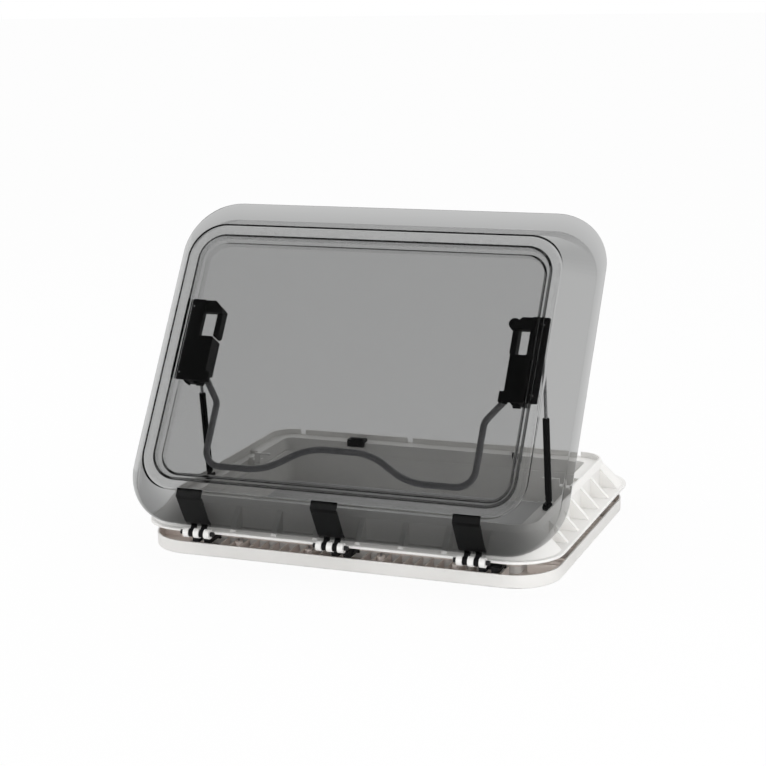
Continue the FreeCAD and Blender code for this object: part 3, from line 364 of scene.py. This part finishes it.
def even(run, height, widen=PANE_WIDEN):
    """A loop that lies equally far out on all four sides."""
    return (run, run, run, WELD_RADIUS + widen * run, height)


def blend_loops(first, second, share):
    """The loop that lies a share of the way from the first to the second."""
    return tuple(a + (b - a) * share for a, b in zip(first, second))


def flat_length(first, second):
    """The distance between two loops, measured across the lid's far side."""
    return math.hypot(second[2] - first[2], second[4] - first[4])


def rounded_profile(corners, reach):
    """The loops of a bent sheet: every inner corner is turned into a soft bend."""
    loops = [corners[0]]
    for before, corner, after in zip(corners, corners[1:], corners[2:]):
        ends = []
        for other in (before, after):
            length = max(flat_length(corner, other), SHORTEST_FLAT)
            ends.append(blend_loops(corner, other, min(BEND_LIMIT, reach / length)))
        for step in range(BEND_STEPS + 1):
            share = step / BEND_STEPS
            toward = blend_loops(ends[0], corner, share)
            away = blend_loops(corner, ends[1], share)
            loops.append(blend_loops(toward, away, share))
    return loops + [corners[-1]]


def with_support(loops):
    """Extra loops near both ends of every long flat, so that smooth shading keeps it flat."""
    result = [loops[0]]
    for before, after in zip(loops, loops[1:]):
        length = flat_length(before, after)
        if length > 4.0 * SUPPORT_REACH:
            result.append(blend_loops(before, after, SUPPORT_REACH / length))
            result.append(blend_loops(after, before, SUPPORT_REACH / length))
        result.append(after)
    return result


def moulded_sheet(name, loops, slot):
    """A closed shell through the loops, capped at both ends, that rides on the lid."""
    shell = bmesh.new()
    loops = with_support(loops)
    rings = [[shell.verts.new(point) for point in lid_loop(*loop)] for loop in loops]
    for ring, following in zip(rings, rings[1:]):
        for index in range(len(ring)):
            after = (index + 1) % len(ring)
            shell.faces.new((ring[index], ring[after], following[after], following[index]))
    shell.faces.new(rings[0])
    shell.faces.new(rings[-1])
    bmesh.ops.recalc_face_normals(shell, faces=shell.faces)
    data = bpy.data.meshes.new(name)
    shell.to_mesh(data)
    shell.free()
    for polygon in data.polygons:
        polygon.use_smooth = True
    sheet = bpy.data.objects.new(name, data)
    bpy.context.collection.objects.link(sheet)
    data.materials.append(MATERIALS[slot])
    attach(sheet, "lid")
    return sheet


def tray_profile(steps, floor, ledge, rim):
    """One face of the inner pane: its floor, a step to the ledge and a step to the rim."""
    places = ((TRAY_START, floor), (steps[0], floor), (steps[1], ledge), (steps[2], ledge),
              (steps[3], rim), (RIM_RUN, rim))
    return rounded_profile([even(run, height, TRAY_WIDEN) for run, height in places], TRAY_REACH)


def add_panes():
    """The two panes with the soft bends of moulded sheet; the near wall thickens to its foot, which
    darkens it as painted shade.
    """
    inner_top = PANE_TOP - PANE_THICK
    lip_radius = WELD_RADIUS + LIP_ROUNDING
    foot = WALL_FOOT - WALL_INSET
    outside = rounded_profile([
        even(PANE_START, PANE_TOP), even(KNEE, PANE_TOP), even(WALL_FOOT, BEND_HEIGHT),
        (LIP_SIDE, LIP_NEAR, LIP_FAR, lip_radius, LIP_HIGH)], OUTER_REACH)
    inside = rounded_profile([
        even(PANE_START, inner_top), even(KNEE - KNEE_INSET, inner_top),
        (foot, WALL_FOOT - NEAR_WALL_SHADE_INSET, foot, WELD_RADIUS + PANE_WIDEN * foot,
         BEND_HEIGHT - BEND_DROP),
        (LIP_SIDE - LIP_INSET, LIP_NEAR - LIP_INSET, LIP_FAR - LIP_INSET, lip_radius, LIP_LOW)],
        INNER_REACH)
    outer = moulded_sheet("outer_pane_shell", outside + inside[::-1], "tinted_acrylic")
    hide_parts("lid_outer_pane")
    rim = inner_top - RIM_GAP
    upper = tray_profile(UPPER_STEPS, TRAY_FLOOR, TRAY_LEDGE, rim)
    lower = tray_profile(LOWER_STEPS, TRAY_FLOOR - TRAY_THICK, TRAY_LEDGE - TRAY_THICK,
                         rim - RIM_THICK)
    inner = moulded_sheet("inner_pane_shell", upper + lower[::-1], "light_acrylic")
    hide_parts("lid_inner_pane")


def floor_material():
    """Pale floor that glows white to the camera and through glass, but not in the opening, where a
    darker grey is painted shade.
    """
    material, tree, shader = new_material("floor")
    tone = add_ramp(tree, add_noise(tree, scale=3.0), NOISE_BAND, grey(0.78), grey(0.80))
    inside = inside_mask(tree, *LIGHT_OPENING)
    # Painted shade: inside the light opening the floor is a darker grey
    tree.links.new(mix_colors(tree, inside, tone, grey(OPENING_PAINTED_SHADE)), shader.inputs["Base Color"])
    shader.inputs["Roughness"].default_value = 0.9
    glow = tree.nodes.new("ShaderNodeEmission")
    glow.inputs["Strength"].default_value = 1.0
    bright = mix_shaders(tree, FLOOR_GLOW, shader.outputs[0], glow.outputs[0])
    glowing = add_math(tree, "MULTIPLY", seen_directly(tree), add_math(tree, "SUBTRACT", 1.0, inside))
    tree.links.new(mix_shaders(tree, glowing, shader.outputs[0], bright),
                   tree.nodes["Material Output"].inputs["Surface"])
    return material


def add_floor():
    """A wide floor just under the ceiling frame."""
    bpy.ops.mesh.primitive_plane_add(size=60.0, location=(0.0, 0.0, -0.0006))
    floor = bpy.context.object
    floor.name = "floor"
    floor.data.materials.append(floor_material())


def add_world():
    """Soft even light, white to the camera; in mirrored rays only the backdrop's side is white."""
    world = bpy.data.worlds.new("studio")
    bpy.context.scene.world = world
    world.use_nodes = True
    tree = world.node_tree
    soft = tree.nodes["Background"]
    soft.inputs["Color"].default_value = WHITE
    soft.inputs["Strength"].default_value = SKY_STRENGTH
    white = tree.nodes.new("ShaderNodeBackground")
    white.inputs["Color"].default_value = WHITE
    coordinates = tree.nodes.new("ShaderNodeTexCoord")
    toward = tree.nodes.new("ShaderNodeVectorMath")
    toward.operation = "DOT_PRODUCT"
    toward.inputs[1].default_value = BACKDROP_SIDE
    tree.links.new(coordinates.outputs["Generated"], toward.inputs[0])
    mirrored = tree.nodes.new("ShaderNodeBackground")
    tree.links.new(add_ramp(tree, toward.outputs["Value"], MIRROR_BAND, grey(DIM_REFLECTION), WHITE),
                   mirrored.inputs["Color"])
    direct = mix_shaders(tree, seen_directly(tree), soft.outputs[0], white.outputs[0])
    path = tree.nodes.new("ShaderNodeLightPath")
    after_mirror = add_math(tree, "GREATER_THAN", path.outputs["Glossy Depth"], 0.5)
    tree.links.new(mix_shaders(tree, after_mirror, direct, mirrored.outputs[0]),
                   tree.nodes["World Output"].inputs["Surface"])


def add_lamp(name, place, target, size, power):
    """A square soft box that faces a point."""
    data = bpy.data.lights.new(name, "AREA")
    data.size = size
    data.energy = power
    lamp = bpy.data.objects.new(name, data)
    lamp.location = place
    lamp.rotation_euler = (Vector(target) - Vector(place)).to_track_quat("-Z", "Y").to_euler()
    bpy.context.collection.objects.link(lamp)


MATERIALS = {
    "white_plastic": plastic("white_plastic", (0.80, 0.79, 0.77), (0.84, 0.83, 0.81),
                             *WHITE_MOULDING),
    "black_plastic": plastic("black_plastic", (0.012, 0.012, 0.013), (0.018, 0.018, 0.019),
                             *BLACK_MOULDING, specular=0.3),
    "grey_plastic": plastic("grey_plastic", (0.53, 0.53, 0.55), (0.59, 0.59, 0.61),
                            0.25, 0.34, 700.0, 0.1, 0.0004),
    "black_metal": plastic("black_metal", (0.002, 0.002, 0.0025), (0.004, 0.004, 0.0045),
                           0.4, 0.5, 800.0, 0.1, 0.0004, specular=0.05),
    "arm_black": plastic("arm_black", (0.004, 0.004, 0.0045), (0.008, 0.008, 0.0085),
                         *BLACK_MOULDING, specular=0.12),
    # The neck is coloured all over in the warm tones of painted shade, which stand in for the shade in
    # the channel round it
    "neck_painted_warm_shade": plastic("neck_painted_warm_shade", WARM_SHADE_DARK, WARM_SHADE_LIGHT, *WHITE_MOULDING),
    # The ceiling frame is white, with a painted warm shade inside the channel block
    "ceiling_white_and_channel_shade": plastic("ceiling_white_and_channel_shade", (0.76, 0.75, 0.73), (0.80, 0.79, 0.77),
                             *WHITE_MOULDING, painted_shade_block=SHADED_CHANNEL),
    "steel": metal("steel", (0.55, 0.55, 0.56), (0.68, 0.68, 0.69), 0.22, 0.35,
                   stretch=(1.0, 1.0, 0.05)),
    "tinted_acrylic": acrylic("tinted_acrylic", SMOKE, density=222.0),
    "light_acrylic": acrylic("light_acrylic", SMOKE, density=120.0),
    "clear_rubber": see_through("clear_rubber"),
}
SPECIAL_FINISHES = {
    "outer_neck": "neck_painted_warm_shade", "ceiling_frame": "ceiling_white_and_channel_shade", "hinge_arm_left": "arm_black",
    "hinge_arm_middle": "arm_black", "hinge_arm_right": "arm_black"}
for entry in frame["record"]["subparts"]:
    node = frame["nodes"][entry["node"]]
    node.data.materials.clear()
    finish = SPECIAL_FINISHES.get(entry["node"], entry["material_slot"])
    node.data.materials.append(MATERIALS[finish])

add_camera()
add_panes()
add_floor()
add_world()
for lamp_row in LAMPS:
    add_lamp(*lamp_row)

scene = bpy.context.scene
scene.view_settings.view_transform = "Standard"
